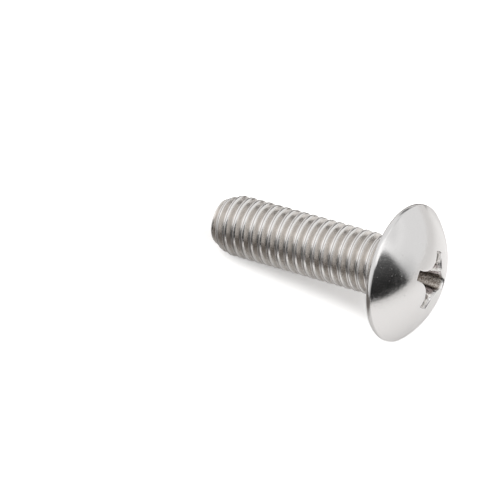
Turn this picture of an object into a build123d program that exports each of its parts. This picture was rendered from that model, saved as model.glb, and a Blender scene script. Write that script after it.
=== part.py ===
from build123d import *
import math
import os

# Truss head screw, M6 x 20 coarse, millimetres. It is drawn upright, its axis on Z, the bearing face at
# Z = 0, the head above and the shank below, and then laid down: it rests on the head's rim and the last
# full turn of the thread, with +X along the shank towards the head.

# Shank
crest_diameter = 5.97
length = 20.0
tip_diameter = 4.4
tip_chamfer = 1.8
neck_fillet = 0.3

# Head
head_diameter = 13.5
head_height = 3.9
rim_corner = 0.6
rim_height = 0.9

# Driver recess, crossed
wing_span = 5.6
wing_taper = 26.5
wing_width = 1.0
wing_floor_width = 0.8
corner_radius = 1.9
floor_corner_radius = 0.9
recess_depth = 2.9
recess_point = 0.5
point_radius = 0.8
point_tip_radius = 0.15
recess_turn = 39.3
overcut = 0.5

crest = crest_diameter / 2
rim = head_diameter / 2
tip = tip_diameter / 2

# The dome is one arc from the top down to the crease where the rim band starts.
drop = head_height - rim_height
crown_radius = (rim**2 + drop**2) / (2 * drop)

# Half section of the blank, from the end face round to the top of the dome.
with BuildPart() as screw:
    with BuildSketch(Plane.XZ):
        with BuildLine():
            Polyline(
                (0, 0), (0, -length), (tip, -length), (crest, tip_chamfer - length), (crest, -neck_fillet)
            )
            TangentArc((crest, -neck_fillet), (crest + neck_fillet, 0), tangent=(0, 1))
            Line((crest + neck_fillet, 0), (rim - rim_corner, 0))
            TangentArc((rim - rim_corner, 0), (rim, rim_corner), tangent=(1, 0))
            Line((rim, rim_corner), (rim, rim_height))
            RadiusArc((0, head_height), (rim, rim_height), crown_radius)
            Line((0, head_height), (0, 0))
        make_face()
    revolve(axis=Axis.Z)


def cross(span, width, radius):
    """Four wings whose inner corners are rounded by one radius each."""
    with BuildSketch() as outline:
        Rectangle(span, width)
        Rectangle(width, span)
        inner = [v for v in outline.vertices() if max(abs(v.X), abs(v.Y)) < width]
        fillet(inner, radius)
    return outline.sketch


# The recess: a cross whose sides draw in slightly towards the floor, held within a cone that slopes the
# wings' ends in from the mouth, and a shallow point below the floor. It is cut from just over the dome,
# and the cross is longer than the cone is wide.
floor_height = head_height - recess_depth
over = head_height + overcut
mouth_height = head_height - crown_radius + math.sqrt(crown_radius**2 - (wing_span / 2) ** 2)
slope = math.tan(math.radians(wing_taper))
floor_reach = wing_span / 2 - (mouth_height - floor_height) * slope
over_reach = wing_span / 2 + (over - mouth_height) * slope
widening = (wing_width - wing_floor_width) / (mouth_height - floor_height)
over_width = wing_floor_width + (over - floor_height) * widening
long_span = 3 * wing_span
wings = loft(
    [
        Pos(0, 0, over) * cross(long_span, over_width, corner_radius),
        Pos(0, 0, floor_height) * cross(long_span, wing_floor_width, floor_corner_radius),
    ],
    ruled=True,
)
recess = wings & Pos(0, 0, (floor_height + over) / 2) * Cone(floor_reach, over_reach, over - floor_height)
point = Pos(0, 0, floor_height - recess_point / 2) * Cone(point_tip_radius, point_radius, recess_point)

body = screw.part - Rot(0, 0, recess_turn) * recess - point
print("recess volume", round(recess.volume, 2), "body volume", round(body.volume, 2), body.is_valid)
print("crown radius", round(crown_radius, 3), "floor reach", round(floor_reach, 3))

# Resting tilt: the rim's lower corner and the last full turn both touch the floor.
reach = length - tip_chamfer + rim_corner
fall = rim - rim_corner - crest
lean = math.degrees(math.asin(rim_corner / math.hypot(reach, fall)) + math.atan2(fall, reach))
laid = Rot(0, 90 - lean, 0) * body
box = laid.bounding_box()
laid = Pos(-box.center().X, -box.center().Y, -box.min.Z) * laid

os.makedirs("parts", exist_ok=True)
export_step(laid, "parts/screw.step")
print("lean", round(lean, 3), "box", box.size)
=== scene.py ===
import bmesh
import bpy
import math
from mathutils import Matrix, Vector


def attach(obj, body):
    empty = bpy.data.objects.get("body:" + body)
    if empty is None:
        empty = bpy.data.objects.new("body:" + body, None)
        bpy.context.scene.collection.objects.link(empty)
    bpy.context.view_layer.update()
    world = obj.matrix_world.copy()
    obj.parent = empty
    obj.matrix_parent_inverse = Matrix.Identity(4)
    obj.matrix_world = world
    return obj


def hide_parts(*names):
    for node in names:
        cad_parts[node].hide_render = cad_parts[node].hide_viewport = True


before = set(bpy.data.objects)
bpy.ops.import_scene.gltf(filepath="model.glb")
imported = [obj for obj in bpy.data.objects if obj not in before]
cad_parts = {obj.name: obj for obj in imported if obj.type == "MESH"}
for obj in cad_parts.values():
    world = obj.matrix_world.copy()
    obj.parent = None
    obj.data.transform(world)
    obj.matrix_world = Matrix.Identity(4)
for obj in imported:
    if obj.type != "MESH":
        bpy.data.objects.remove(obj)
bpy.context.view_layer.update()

# Sizes in millimetres, upright: the screw's axis on Z, the bearing face at Z = 0, the head above.
MM = 0.001
LENGTH = 20.0
CREST_RADIUS = 2.985
NECK = 0.55  # plain length below the head
NECK_FILLET = 0.3
TIP_RADIUS = 2.2
TIP_CHAMFER = 1.8
TIP_CURVE = 1.4  # 1 would be a straight taper
RIM_RADIUS = 6.75
RIM_CORNER = 0.6
RIM_HEIGHT = 0.8
HEAD_HEIGHT = 3.9
DOME_RISE = HEAD_HEIGHT - RIM_HEIGHT
DOME_RADIUS = (RIM_RADIUS**2 + DOME_RISE**2) / (2 * DOME_RISE)

# Driver recess
WING_SPAN = 5.6
WING_TAPER = math.radians(26.5)
WING_WIDTH = 1.0
WING_NICK = 0.08  # round on the corners of a wing's end
FLOOR_WIDTH = 0.8
CORNER = 1.9
FLOOR_CORNER = 0.9
RECESS_DEPTH = 2.9
RECESS_EDGE = 3.6  # round ring on the dome, just outside the recess
POINT_RADIUS = 0.8
POINT_TIP = 0.15
POINT_DEPTH = 0.5
MOUTH_ROUND = 0.1
RECESS_TURN = math.radians(39.3)

# Thread, in millimetres
PITCH = 1.0
THREAD_DEPTH = 0.6
THREAD_START = -0.16
RUN_OUT = 0.8  # the groove dies away over this length, up to the neck

# The thread's profile, in pitches
CREST_HALF = 0.16
FLANK_SLOPE = 1.95
CREST_ROUND = 0.03
ROOT_ROUND = 0.12
HOLLOW_FLOOR = 0.02
HOLLOW_EDGE = 0.095
HOLLOW_DEPTH = 0.045
TIP_FADE = 0.5  # the thread dies away over this length on the point

# How fine the mesh is, and the gaps and slivers that it closes, in metres
AROUND = 144  # points round the screw
ACROSS = 24  # faces across one pitch
BUNCHING = 0.75  # draws points to the crest and the root
WELD = 2e-7
SLIVER = 1e-7
SHARP = math.radians(42)  # steeper edges are shaded as edges

# Where the screw lies: its bearing face's centre, and how far its axis leans up towards the head.
BEARING_CENTRE = Vector((8.01990, 0.0, 6.51133))
LEAN = math.radians(11.35971)
AXIS = Vector((math.cos(LEAN), 0, math.sin(LEAN)))
TURNED = Matrix.Rotation(math.pi / 2 - LEAN, 4, "Y") @ Matrix.Rotation(RECESS_TURN, 4, "Z")
LYING_WING = TURNED @ Vector((1, 0, 0))
STANDING_WING = TURNED @ Vector((0, 1, 0))
LAID = Matrix.Scale(MM, 4) @ Matrix.Translation(BEARING_CENTRE) @ TURNED

# The camera looks down over the head.
CAMERA_PLACE = Vector((141.145, -254.548, 331.322))
CAMERA_TURN = math.radians(30.649)
CAMERA_RISE = math.radians(48.158)
CAMERA_LENS = 341.25

# The sheet's edges as the camera sees it, in metres from under the screw.
SHEET_LEFT, SHEET_RIGHT = -0.036, 0.6
SHEET_FRONT, SHEET_BACK = -0.062, 0.9

# Colours
DOME_STEEL = (0.735, 0.725, 0.72, 1.0)
SHANK_STEEL = (0.74, 0.72, 0.70, 1.0)
GROOVE_STEEL = (0.72, 0.69, 0.66, 1.0)
BURNISHED_STEEL = (0.87, 0.86, 0.85, 1.0)
# Painted shade in the crest's hollow.
HOLLOW_SHADE_STEEL = (0.50, 0.47, 0.45, 1.0)
# Painted sheen: the recess's steel painted brighter.
RECESS_SHEEN_STEEL = (0.95, 0.94, 0.925, 1.0)
# Painted shade on the lower standing wing, next to the slot.
FACET_SHADE_STEEL = (0.45, 0.40, 0.40, 1.0)
# Painted shade in the slot.
SLOT_SHADE_STEEL = (0.20, 0.165, 0.14, 1.0)
SCUFFED_STEEL = (0.62, 0.58, 0.54, 1.0)
WHITE_SHEET = (0.92, 0.905, 0.89, 1.0)
# Painted reflections, seen only in the steel.
PAINTED_DULL_REFLECTION = (0.30, 0.26, 0.23, 1.0)


class Bench:
    """A node tree and the one way that nodes are put on it."""

    def __init__(self, tree):
        self.tree = tree

    def node(self, kind, sockets=None, settings=None, out=0):
        made = self.tree.nodes.new(kind)
        for name, value in (settings or {}).items():
            setattr(made, name, value)
        for name, value in (sockets or {}).items():
            if isinstance(value, Wire):
                self.tree.links.new(value.made.outputs[value.out], made.inputs[name])
            else:
                made.inputs[name].default_value = value
        return Wire(self, made, out)


class Wire:
    """An output of a node; arithmetic on it adds Math nodes."""

    def __init__(self, bench, made, out=0):
        self.bench, self.made, self.out = bench, made, out

    def part(self, out):
        return Wire(self.bench, self.made, out)

    def __add__(self, other):
        return maths("ADD", self, other)

    def __sub__(self, other):
        return maths("SUBTRACT", self, other)

    def __rsub__(self, other):
        return maths("SUBTRACT", other, self)

    def __mul__(self, other):
        return maths("MULTIPLY", self, other)

    def __truediv__(self, other):
        return maths("DIVIDE", self, other)

    def __neg__(self):
        return self * -1.0

    __radd__, __rmul__ = __add__, __mul__


def maths(operation, *terms):
    """A Math node; its terms are wires and numbers."""
    bench = next(term.bench for term in terms if isinstance(term, Wire))
    return bench.node("ShaderNodeMath", dict(enumerate(terms)), {"operation": operation})


def lower(a, b):
    return maths("MINIMUM", a, b)


def higher(a, b):
    return maths("MAXIMUM", a, b)


def size_of(a):
    return maths("ABSOLUTE", a)


def ease(x, low, high, start=0.0, end=1.0):
    """x from low to high becomes start to end, slowly at both ends."""
    sockets = {"Value": x, "From Min": low, "From Max": high, "To Min": start, "To Max": end}
    return x.bench.node("ShaderNodeMapRange", sockets, {"interpolation_type": "SMOOTHSTEP"})


def falling(x, low, high):
    """1 below low, 0 above high."""
    return ease(x, low, high, 1.0, 0.0)


def noise(place, scale, detail, roughness):
    sockets = {"Vector": place, "Scale": scale, "Detail": detail, "Roughness": roughness}
    return place.bench.node("ShaderNodeTexNoise", sockets)


def vectors(operation, *terms, out="Value"):
    """A Vector Math node on a wire and what comes after it."""
    return terms[0].bench.node("ShaderNodeVectorMath", dict(enumerate(terms)), {"operation": operation}, out)


def blend(low, high, amount):
    """A colour from low to high; a Mix node numbers its colour sockets 6, 7 and 2."""
    return amount.bench.node("ShaderNodeMix", {0: amount, 6: low, 7: high}, {"data_type": "RGBA"}, 2)


def cleared(owner):
    """The bench of a material or world, with nothing on it."""
    owner.use_nodes = True
    owner.node_tree.nodes.clear()
    return Bench(owner.node_tree)


def put(name, data):
    """A new object in the scene."""
    made = bpy.data.objects.new(name, data)
    bpy.context.scene.collection.objects.link(made)
    return made


def rolled_thread():
    """The shank as one long strip, a pitch wide, wound up the screw and welded turn to turn."""
    tree = bpy.data.node_groups.new("rolled_thread", "GeometryNodeTree")
    tree.interface.new_socket("Geometry", in_out="OUTPUT", socket_type="NodeSocketGeometry")
    sizes = {
        "Pitch": PITCH * MM,
        "Crest Radius": CREST_RADIUS * MM,
        "Thread Depth": THREAD_DEPTH * MM,
        "Length": LENGTH * MM,
        "Neck": NECK * MM,
        "Run Out": RUN_OUT * MM,
        "Start": THREAD_START * MM,
        "Tip Radius": TIP_RADIUS * MM,
        "Tip Chamfer": TIP_CHAMFER * MM,
        "Turns": float(math.ceil((LENGTH - NECK) / PITCH) + 2),
    }
    for name, value in sizes.items():
        socket = tree.interface.new_socket(name, in_out="INPUT", socket_type="NodeSocketFloat")
        socket.default_value = value
    tree.interface.new_socket("Material", in_out="INPUT", socket_type="NodeSocketMaterial")
    bench = Bench(tree)
    given = bench.node("NodeGroupInput")
    size = {name: given.part(name) for name in sizes}
    pitch, length, neck = size["Pitch"], size["Length"], size["Neck"]

    points = {"Vertices X": size["Turns"] * float(AROUND) + 1.0, "Vertices Y": ACROSS + 1}
    strip = bench.node("GeometryNodeMeshGrid", {"Size X": 1.0, "Size Y": 1.0, **points})
    place = bench.node("GeometryNodeInputPosition")
    flat = bench.node("ShaderNodeSeparateXYZ", {"Vector": place})
    turn = (flat.part("X") + 0.5) * size["Turns"]
    even = flat.part("Y") + 0.5
    over = even - BUNCHING * maths("SINE", even * (4 * math.pi)) / (4 * math.pi)
    height = size["Start"] - length + pitch * (turn + over - 1.5)
    held = lower(higher(height, -length), -neck)

    # From 0 on the crest to a half in the root, in pitches.
    from_crest = 0.5 - size_of(over - 0.5)
    cut = (from_crest - CREST_HALF) * pitch * FLANK_SLOPE
    cut = maths("SMOOTH_MAX", cut, 0.0, pitch * CREST_ROUND)
    cut = maths("SMOOTH_MIN", cut, size["Thread Depth"], pitch * ROOT_ROUND)
    # The rolls leave a shallow hollow along the middle of the crest.
    cut = cut + ease(from_crest, HOLLOW_FLOOR, HOLLOW_EDGE, HOLLOW_DEPTH, 0.0) * pitch
    # The thread dies away below the neck and on the point, which is rounded.
    fade = falling(height, -neck - size["Run Out"], -neck) * ease(held + length, 0.0, pitch * TIP_FADE)
    point = higher(size["Tip Chamfer"] - length - held, 0.0) / size["Tip Chamfer"]
    drawn_in = maths("POWER", point, TIP_CURVE) * (size["Crest Radius"] - size["Tip Radius"])
    radius = size["Crest Radius"] - drawn_in - cut * fade

    angle = turn * (2 * math.pi)
    wound = {"X": radius * maths("COSINE", angle), "Y": radius * maths("SINE", angle), "Z": held}
    wound = bench.node("ShaderNodeCombineXYZ", wound)
    shaped = bench.node("GeometryNodeSetPosition", {"Geometry": strip, "Position": wound})
    welded = bench.node("GeometryNodeMergeByDistance", {"Geometry": shaped, "Distance": WELD})
    whole = bench.node("GeometryNodeRealizeInstances", {"Geometry": welded})
    steel = given.part("Material")
    finished = bench.node("GeometryNodeSetMaterial", {"Geometry": whole, "Material": steel})
    bench.node("NodeGroupOutput", {"Geometry": finished})
    return tree


def grown(tree, steel):
    """The tree's result as a plain mesh."""
    holder = put("thread_strip", bpy.data.meshes.new("thread_strip"))
    modifier = holder.modifiers.new("thread", "NODES")
    modifier.node_group = tree
    for item in tree.interface.items_tree:
        if item.in_out == "INPUT" and item.name == "Material":
            modifier[item.identifier] = steel
    evaluated = holder.evaluated_get(bpy.context.evaluated_depsgraph_get())
    mesh = bpy.data.meshes.new_from_object(evaluated)
    bpy.data.objects.remove(holder)
    return mesh


def circle(radius, height):
    angles = [2 * math.pi * i / AROUND for i in range(AROUND)]
    return [Vector((radius * math.cos(a), radius * math.sin(a), height)) for a in angles]


def arc(centre, radius, start, end, count):
    """Points (radius, height) of a half-section arc, angles in degrees, the first left out."""
    angles = [math.radians(start + (end - start) * (i + 1) / count) for i in range(count)]
    return [(centre[0] + radius * math.cos(a), centre[1] + radius * math.sin(a)) for a in angles]


def dome(radius):
    """The dome's height at a distance from the axis."""
    return HEAD_HEIGHT - DOME_RADIUS + math.sqrt(DOME_RADIUS**2 - radius**2)


def cross(span, width, corner, nick):
    """The recess's outline as AROUND points: inner corners rounded, wing ends on a circle."""
    half, side = span / 2, width / 2
    start = side + corner
    reach = half - nick - start
    # An eighth, from the middle of a wing's end round to the middle of an inner corner.
    end_round = [math.pi / 6 * i for i in (1, 2, 3)]
    inner_round = [math.pi / 4 * i / 8 for i in range(1, 9)]
    eighth = [(half, (side - nick) * i / 3) for i in range(4)]
    eighth += [(half - nick + nick * math.cos(a), side - nick + nick * math.sin(a)) for a in end_round]
    eighth += [(half - nick - reach * i / 4, side) for i in range(1, 5)]
    eighth += [(start - corner * math.sin(a), start - corner * math.cos(a)) for a in inner_round]
    quarter = [Vector(p) for p in eighth + [(y, x) for x, y in reversed(eighth[1:-1])]]
    quarter = [p * min(1, half / p.length) for p in quarter]
    return [Matrix.Rotation(math.pi / 2 * turn, 2) @ p for turn in range(4) for p in quarter]


def between(ring, other, t):
    """The flat ring t of the way from one flat ring to another."""
    return [p.lerp(q, t) for p, q in zip(ring, other)]


def raised(ring, heights):
    return [Vector((p.x, p.y, z)) for p, z in zip(ring, heights)]


def head_rings():
    """Rings of points from the neck, round the rim and over the dome, down into the recess."""
    line = [(CREST_RADIUS, -z) for z in (NECK, (NECK + NECK_FILLET) / 2, NECK_FILLET)]
    line += arc((CREST_RADIUS + NECK_FILLET, -NECK_FILLET), NECK_FILLET, 180, 90, 6)
    inner, outer = CREST_RADIUS + NECK_FILLET, RIM_RADIUS - RIM_CORNER
    line += [(inner + (outer - inner) * t, 0) for t in (0.05, 0.3, 0.65, 0.95, 1.0)]
    line += arc((outer, RIM_CORNER), RIM_CORNER, -90, 0, 8)
    # The rim band, up to its crease, which is broken by a few hundredths.
    line += [(RIM_RADIUS, RIM_CORNER + 0.06), (RIM_RADIUS, RIM_HEIGHT - 0.05)]
    line += [(RIM_RADIUS - 0.012, RIM_HEIGHT + 0.01)]
    line += [(r, dome(r)) for r in (6.7, 6.6, 6.4, 6.1, 5.7, 5.3, 4.8, 4.3, 3.9)]
    rings = [circle(r, z) for r, z in line]

    mouth = cross(WING_SPAN, WING_WIDTH, CORNER, WING_NICK)
    wider = 2 * MOUTH_ROUND
    lip = cross(WING_SPAN + wider, WING_WIDTH + wider, CORNER - MOUTH_ROUND, WING_NICK + MOUTH_ROUND)
    base = HEAD_HEIGHT - RECESS_DEPTH
    reach = WING_SPAN / 2 - (dome(WING_SPAN / 2) - base) * math.tan(WING_TAPER)
    floor = cross(2 * reach, FLOOR_WIDTH, FLOOR_CORNER, WING_NICK)
    edge = [p.xy for p in circle(RECESS_EDGE, 0)]
    hollow = [p.xy for p in circle(POINT_RADIUS, 0)]

    # Over the dome to the lip, round the mouth, down the walls, and over the floor to the point.
    for t in (0.0, 0.25, 0.5, 0.72, 0.88, 1.0):
        flat = between(edge, lip, t)
        rings.append(raised(flat, [dome(p.length) for p in flat]))
    lip_heights = [dome(p.length) for p in lip]
    for a in (math.radians(degrees) for degrees in (30, 60, 90)):
        heights = [z - MOUTH_ROUND * (1 - math.cos(a)) for z in lip_heights]
        rings.append(raised(between(lip, mouth, math.sin(a)), heights))
    for t in (0.2, 0.45, 0.7, 0.95, 1.0):
        heights = [(z - MOUTH_ROUND) * (1 - t) + base * t for z in lip_heights]
        rings.append(raised(between(mouth, floor, t), heights))
    for t in (0.06, 0.5, 1.0):
        rings.append(raised(between(floor, hollow, t), [base] * AROUND))
    rings.append(circle(POINT_TIP, base - POINT_DEPTH))
    return rings, Vector((0, 0, base - POINT_DEPTH - 0.02))


def end_rings():
    """The end face, from its edge to a faint dimple."""
    line = [(TIP_RADIUS, 0), (TIP_RADIUS - 0.12, 0), (1.5, 0), (0.9, 0.02), (0.4, 0.07)]
    return [circle(r, z - LENGTH) for r, z in line], Vector((0, 0, 0.09 - LENGTH))


def skin(mesh, rings, pole):
    """Quads between each ring and the next, and a fan to the pole."""
    loops = [[mesh.verts.new(p * MM) for p in ring] for ring in rings]
    for low, high in zip(loops, loops[1:]):
        for i in range(AROUND):
            j = (i + 1) % AROUND
            mesh.faces.new((low[i], low[j], high[j], high[i]))
    centre = mesh.verts.new(pole * MM)
    for i in range(AROUND):
        mesh.faces.new((loops[-1][i], loops[-1][(i + 1) % AROUND], centre))


def make_screw(steel):
    """The thread, the head and the end face as one closed mesh, laid on the floor."""
    mesh = grown(rolled_thread(), steel)
    work = bmesh.new()
    work.from_mesh(mesh)
    skin(work, *head_rings())
    skin(work, *end_rings())
    bmesh.ops.remove_doubles(work, verts=work.verts, dist=WELD)
    bmesh.ops.dissolve_degenerate(work, dist=SLIVER, edges=work.edges)
    bmesh.ops.recalc_face_normals(work, faces=work.faces)
    work.transform(Matrix.Scale(1 / MM, 4))
    work.transform(LAID)
    work.to_mesh(mesh)
    open_edges = sum(1 for e in work.edges if len(e.link_faces) != 2)
    work.free()
    mesh.name = "screw_steel"
    mesh.materials.clear()
    mesh.materials.append(steel)
    mesh.polygons.foreach_set("material_index", [0] * len(mesh.polygons))
    mesh.shade_smooth()
    mesh.set_sharp_from_angle(angle=SHARP)
    print("faces", len(mesh.polygons), "open edges", open_edges)
    return put("screw_steel", mesh)


def streaks(place, turn, length, width):
    """Sparse fine scratches across the axis, in one direction; sizes in metres."""
    lined_up = {"Vector": place, "Rotation": (turn, -LEAN, 0.0), "Scale": (1 / width, 1 / length, 1 / width)}
    return ease(noise(place.bench.node("ShaderNodeMapping", lined_up), 1.0, 1.0, 0.5), 0.62, 0.76)


def bright_steel():
    """Stainless steel: bright dome, fine scratches, duller thread, painted shade and sheen in places."""
    material = bpy.data.materials.new("bright_steel")
    bench = cleared(material)
    place = bench.node("ShaderNodeTexCoord", out="Object")

    # Millimetres from the bearing face's centre: up the axis, out from it, and along the wings.
    away = vectors("SUBTRACT", place, BEARING_CENTRE * MM, out="Vector")
    height = vectors("DOT_PRODUCT", away, AXIS)
    from_centre = vectors("LENGTH", away)
    radius = maths("SQRT", higher(from_centre * from_centre - height * height, 0.0)) / MM
    height = height / MM
    upward = vectors("DOT_PRODUCT", away, STANDING_WING) / MM
    sideways = vectors("DOT_PRODUCT", away, LYING_WING) / MM

    # Where the surface is: on the shank, down in the thread's groove, or inside the recess.
    shank = falling(height, -NECK_FILLET, 0.0)
    threaded = falling(height, -NECK - RUN_OUT, -NECK)
    groove = falling(radius, CREST_RADIUS - 0.3, CREST_RADIUS - 0.01) * shank
    top = maths("SQRT", DOME_RADIUS**2 - radius * radius) + (HEAD_HEIGHT - DOME_RADIUS)
    inside = ease(top - height, 0.08, 0.5) * falling(radius, 3.1, 3.3) * ease(height, 0.1, 0.4)

    # The hollow along the crest is painted darker, a painted shade between the highlights on its
    # edges; the edges beside it are burnished.
    turn = maths("ARCTAN2", upward, sideways) / (2 * math.pi)
    from_crest = maths("PINGPONG", (height - THREAD_START) / PITCH - turn + 0.5, 0.5)
    edges = falling(from_crest, CREST_HALF, CREST_HALF + 0.06) * threaded
    hollow_shade = falling(from_crest, 0.04, 0.085) * threaded
    # Fine marks run round the thread with the rolls.
    marks = {"X": from_crest * 9.0, "Y": upward * 0.7, "Z": sideways * 0.7}
    marks = noise(bench.node("ShaderNodeCombineXYZ", marks), 1.0, 2.0, 0.6)
    marks = (marks - 0.5) * falling(height, -0.5, 0.0)

    # The recess is painted brighter, a painted sheen, and is dented; painted shade greys the lower
    # standing wing next to the slot. The slot that the two lying wings make is painted dark brown,
    # a painted shade, and is scuffed.
    slot = falling(size_of(upward), 0.5, 0.6) * inside
    painted_facet_shade = ease(upward, -1.35, -1.2) * falling(upward, -0.6, -0.5) * inside
    scuffs = ease(noise(place, 6500.0, 3.0, 0.7), 0.38, 0.66)
    dents = noise(place, 3400.0, 1.0, 0.5)

    # Wear and fine scratches all over, and specks on the head.
    wear = noise(place, 320.0, 4.0, 0.6)
    fine = noise(place, 3600.0, 3.0, 0.6)
    grain = noise(place, 9000.0, 2.0, 0.6)
    scratch = streaks(place, 0.0, 0.0011, 0.00011)
    for angle, length in ((0.9, 0.0007), (1.8, 0.0014), (2.5, 0.0006)):
        scratch = higher(scratch, streaks(place, angle, length, 0.0001))
    cells = bench.node("ShaderNodeTexVoronoi", {"Vector": place, "Scale": 3000.0})
    pick = bench.node("ShaderNodeSeparateColor", {"Color": cells.part("Color")})
    specks = falling(cells, 0.1, 0.25) * ease(pick, 0.75, 0.9) * ease(height, 0.0, 0.3)

    # The blend below paints shade in the crest's hollow, and painted sheen and painted shade in the recess.
    colour = DOME_STEEL
    for steel, where in (
        (SHANK_STEEL, shank),
        (GROOVE_STEEL, groove),
        (BURNISHED_STEEL, edges),
        (HOLLOW_SHADE_STEEL, hollow_shade),
        (RECESS_SHEEN_STEEL, inside),
        (FACET_SHADE_STEEL, painted_facet_shade),
        (SLOT_SHADE_STEEL, slot),
        (SCUFFED_STEEL, slot * scuffs * 0.8),
    ):
        colour = blend(colour, steel, where)
    rough = 0.15 + (wear - 0.5) * 0.09 + (fine - 0.5) * 0.12 + groove * 0.14 + edges * 0.14
    rough = rough + marks * 0.2 + slot * 0.1 + scratch * 0.1 + specks * 0.15
    relief = fine * 0.35 + marks * 1.6 + grain * 0.2 + scratch * 0.5
    relief = relief + inside * dents * 14.0 + slot * scuffs * 4.0 + specks * 1.5
    bumped = bench.node("ShaderNodeBump", {"Height": relief, "Strength": 0.25, "Distance": 0.00001})
    surface = {"Base Color": colour, "Metallic": 1.0, "Roughness": rough, "Normal": bumped}
    surface = bench.node("ShaderNodeBsdfPrincipled", surface)
    bench.node("ShaderNodeOutputMaterial", {"Surface": surface})
    return material


def white_sheet():
    """The sheet, white to the camera, with the screw's soft shadow and a painted one under the shank."""
    material = bpy.data.materials.new("pale_floor")
    bench = cleared(material)
    ray = bench.node("ShaderNodeLightPath")
    camera_sees = ray.part("Is Camera Ray")
    metal_sees = higher(ray.part("Is Glossy Ray"), ray.part("Is Transmission Ray"))

    # Millimetres along the shank towards the head, across it, and from under the head.
    place = bench.node("ShaderNodeTexCoord", out="Object")
    place = bench.node("ShaderNodeSeparateXYZ", {"Vector": place})
    along, across = place.part("X") / MM, place.part("Y") / MM
    far = maths("SQRT", (along - 9.0) * (along - 9.0) + across * across)

    # Seen in the steel alone, the sheet has darker patches in front and behind: painted reflections
    # of neighbouring screws that are not in the scene.
    front = ease(along, -110.0, -70.0) * falling(along, 0.0, 6.0)
    front = front * falling(across + along * 0.35, -11.7, -3.7) * ease(across, -60.0, -45.0) * 0.93
    slanted = along - across * 0.5
    behind = ease(slanted, -60.0, -40.0) * falling(slanted, -10.5, -6.5)
    behind = behind * ease(across, 13.0, 18.0) * ease(across, 38.0, 50.0, 0.9, 0.0)

    # The sheet's glow for the camera is weaker close under the shank, a painted shadow; by the head
    # it has a painted glow that only the metal sees.
    clear = higher(ease(size_of(across), 0.4, 2.8), ease(along, 3.0, 8.0))
    glow = camera_sees * (0.27 + clear * 0.4)
    glow = glow + metal_sees * ease(along, 7.0, 12.0, 0.0, 0.24) * falling(far, 15.0, 60.0)
    matt = bench.node("ShaderNodeBsdfDiffuse", {"Color": WHITE_SHEET})
    glow_with_painted_light = bench.node("ShaderNodeEmission", {"Color": glow, "Strength": 1.0})
    lit = bench.node("ShaderNodeAddShader", {0: matt, 1: glow_with_painted_light})
    # Painted reflections: a darker glow, seen only in the metal over the patches above.
    painted_dull_reflection = bench.node("ShaderNodeEmission", {"Color": PAINTED_DULL_REFLECTION, "Strength": 0.4})
    surface = bench.node("ShaderNodeMixShader", {0: metal_sees * (front + behind), 1: lit, 2: painted_dull_reflection})
    bench.node("ShaderNodeOutputMaterial", {"Surface": surface})
    return material


def pale_floor():
    """The white sheet that the screw lies on."""
    front = [(SHEET_LEFT, SHEET_FRONT, 0), (SHEET_RIGHT, SHEET_FRONT, 0)]
    back = [(SHEET_RIGHT, SHEET_BACK, 0), (SHEET_LEFT, SHEET_BACK, 0)]
    turned = Matrix.Rotation(CAMERA_TURN, 3, "Z")
    mesh = bpy.data.meshes.new("floor")
    mesh.from_pydata([turned @ Vector(corner) for corner in front + back], [], [(0, 1, 2, 3)])
    mesh.materials.append(white_sheet())
    put("floor", mesh)


def studio():
    """A white tent, open to a dim room on the side that the camera looks from."""
    world = bpy.data.worlds.new("studio")
    bpy.context.scene.world = world
    bench = cleared(world)
    way = {"Vector": bench.node("ShaderNodeTexCoord", out="Generated"), "Angle": -CAMERA_TURN}
    way = bench.node("ShaderNodeVectorRotate", way, {"rotation_type": "Z_AXIS"})
    way = bench.node("ShaderNodeSeparateXYZ", {"Vector": way})

    # Degrees to the right of the camera's side, and above the horizon.
    side = maths("ARCTAN2", way.part("X"), -way.part("Y")) * (180 / math.pi)
    rise = maths("ARCSINE", way.part("Z")) * (180 / math.pi)
    opening = ease(side, -73.5, -37.5) * falling(side + rise * 0.2, 59.0, 69.0) * falling(rise, 42.0, 47.5)

    # Brighter overhead, though less so behind, and on the left.
    low_behind = ease(size_of(side), 112.0, 138.0) * falling(rise, 55.0, 70.0)
    tent = 0.92 + ease(rise, 27.0, 52.0, 0.0, 0.36) * (1.0 - low_behind)
    tent = tent + ease(size_of(side + 95.0), 8.0, 28.0, 0.16, 0.0) * ease(rise, 30.0, 42.0)
    # Dimmer on the right, low beside the opening and high beyond it.
    tent = tent - ease(side, 0.0, 60.0, 0.0, 0.22) * falling(side, 66.0, 86.0) * falling(rise, 8.0, 28.0)
    tent = tent - ease(side, 50.0, 85.0, 0.0, 0.34) * falling(side, 130.0, 178.0) * ease(rise, 34.0, 46.0)
    # In shade low behind the shank.
    shade = higher(ease(side, 143.0, 158.0), falling(side, -179.0, -165.0)) * falling(rise, 18.0, 29.0)
    tent = tent * (1.0 - shade * 0.75)

    room = ease(rise, 5.0, 46.0, 0.02, 0.1)
    light = tent + (room - tent) * opening
    camera_sees = bench.node("ShaderNodeLightPath", out="Is Camera Ray")
    glow = light + (1.0 - light) * camera_sees
    background = bench.node("ShaderNodeBackground", {"Color": glow, "Strength": 1.0})
    bench.node("ShaderNodeOutputWorld", {"Surface": background})


def camera():
    data = bpy.data.cameras.new("camera")
    data.sensor_width = 36.0
    data.lens = CAMERA_LENS
    data.clip_start, data.clip_end = 0.05, 5.0
    eye = put("camera", data)
    eye.location = CAMERA_PLACE * MM
    eye.rotation_euler = (math.pi / 2 - CAMERA_RISE, 0, CAMERA_TURN)
    bpy.context.scene.camera = eye


bpy.context.scene.view_settings.view_transform = "Standard"
screw = make_screw(bright_steel())
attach(screw, "root")
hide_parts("screw")
pale_floor()
studio()
camera()
